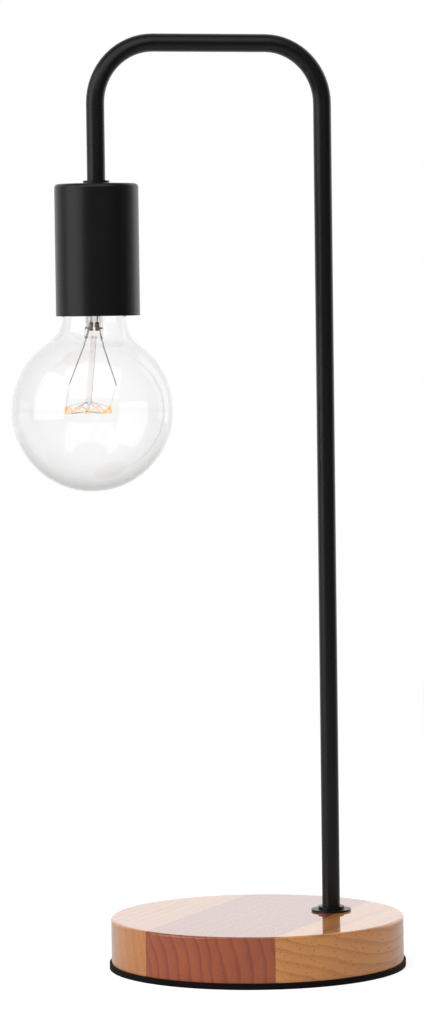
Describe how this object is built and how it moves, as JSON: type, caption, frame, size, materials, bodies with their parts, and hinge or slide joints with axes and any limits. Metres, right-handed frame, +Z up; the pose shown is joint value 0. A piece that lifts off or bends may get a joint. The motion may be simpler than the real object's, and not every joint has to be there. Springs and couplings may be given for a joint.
{
  "type": "bare bulb table lamp",
  "caption": "Table lamp with a round wooden base, a black steel tube bent into an arch, and a clear globe bulb that hangs bare below a black socket cover.",
  "frame": {"origin": "centre of the base's underside, on the table", "axes": "+Z up; the post stands at +X with the cord outlet behind it, and the arm reaches towards -X to the hanging bulb"},
  "size_m": [0.1971, 0.149, 0.4665],
  "materials": {
    "pad": "matt soft foam rubber",
    "wood_left": "clear gloss lacquer over light tan hardwood",
    "wood_middle": "clear gloss lacquer over red brown hardwood",
    "wood_right": "clear gloss lacquer over tan hardwood",
    "black_coat": "satin black powder coat",
    "zinc_steel": "zinc plated",
    "brass": "plain stamped brass",
    "black_nylon": "moulded black nylon",
    "white_nylon": "moulded natural nylon",
    "black_phenolic": "moulded black phenolic",
    "steatite": "unglazed steatite ceramic",
    "live_insulation": "brown insulation",
    "neutral_insulation": "blue insulation",
    "clear_glass": "clear blown glass",
    "cap_metal": "bright rolled cap",
    "cement": "baked capping cement",
    "black_glass": "black insulating glass",
    "solder": "soft solder",
    "nickel_wire": "nickel wire",
    "molybdenum_wire": "fine molybdenum wire",
    "hot_filament": "glowing carbon filament"
  },
  "bodies": {
    "root": {"base_pad": "pad", "wood_stave_left": "wood_left", "wood_stave_middle": "wood_middle", "wood_stave_right": "wood_right", "arch_tube": "black_coat", "socket_cover": "black_coat", "foot_washer": "black_coat", "foot_nipple": "black_coat", "head_nipple": "black_coat", "ballast_plate": "zinc_steel", "ballast_screws": "zinc_steel", "foot_lock_washer": "zinc_steel", "foot_nut": "zinc_steel", "head_nut": "zinc_steel", "holder_set_screw": "zinc_steel", "terminal_screws": "zinc_steel", "block_screws": "zinc_steel", "screw_shell": "brass", "shell_rivets": "brass", "contact_pin": "brass", "live_terminal": "brass", "neutral_terminal": "brass", "block_tubes": "brass", "cord_bush": "black_nylon", "terminal_block": "white_nylon", "holder_dome": "black_phenolic", "holder_skirt": "black_phenolic", "holder_insert": "steatite", "live_wire": "live_insulation", "neutral_wire": "neutral_insulation"},
    "contact_leaf": {"centre_contact": "brass"},
    "bulb_travel": {"cap_contact": "solder"},
    "bulb": {"glass_globe": "clear_glass", "cap_shell": "cap_metal", "cap_cement": "cement", "cap_insulator": "black_glass", "glass_stem": "clear_glass", "glass_rod": "clear_glass", "lead_wire_left": "nickel_wire", "lead_wire_right": "nickel_wire", "support_wires": "molybdenum_wire", "filament": "hot_filament"}
  },
  "joints": [
    {"name": "bulb_travel", "type": "slide", "parent": "root", "child": "bulb_travel", "axis": [-0.0349, 0, -0.9994], "range_m": [0, 0.0164]},
    {"name": "bulb_unscrew", "type": "hinge", "parent": "bulb_travel", "child": "bulb", "pos_m": [-0.079, 0, 0.3845], "axis": [-0.0349, 0, -0.9994], "range_deg": [0, 1620]},
    {"name": "centre_contact_flex", "type": "hinge", "parent": "root", "child": "contact_leaf", "pos_m": [-0.07628, 0, 0.36509], "axis": [0, 1, 0], "range_deg": [0, 6], "stiffness_Nm_per_rad": 0.05, "springref_deg": -14.32}
  ],
  "couplings": [
    {"joint": "bulb_travel", "follows": "bulb_unscrew", "m_per_rad": 0.00057757}
  ]
}
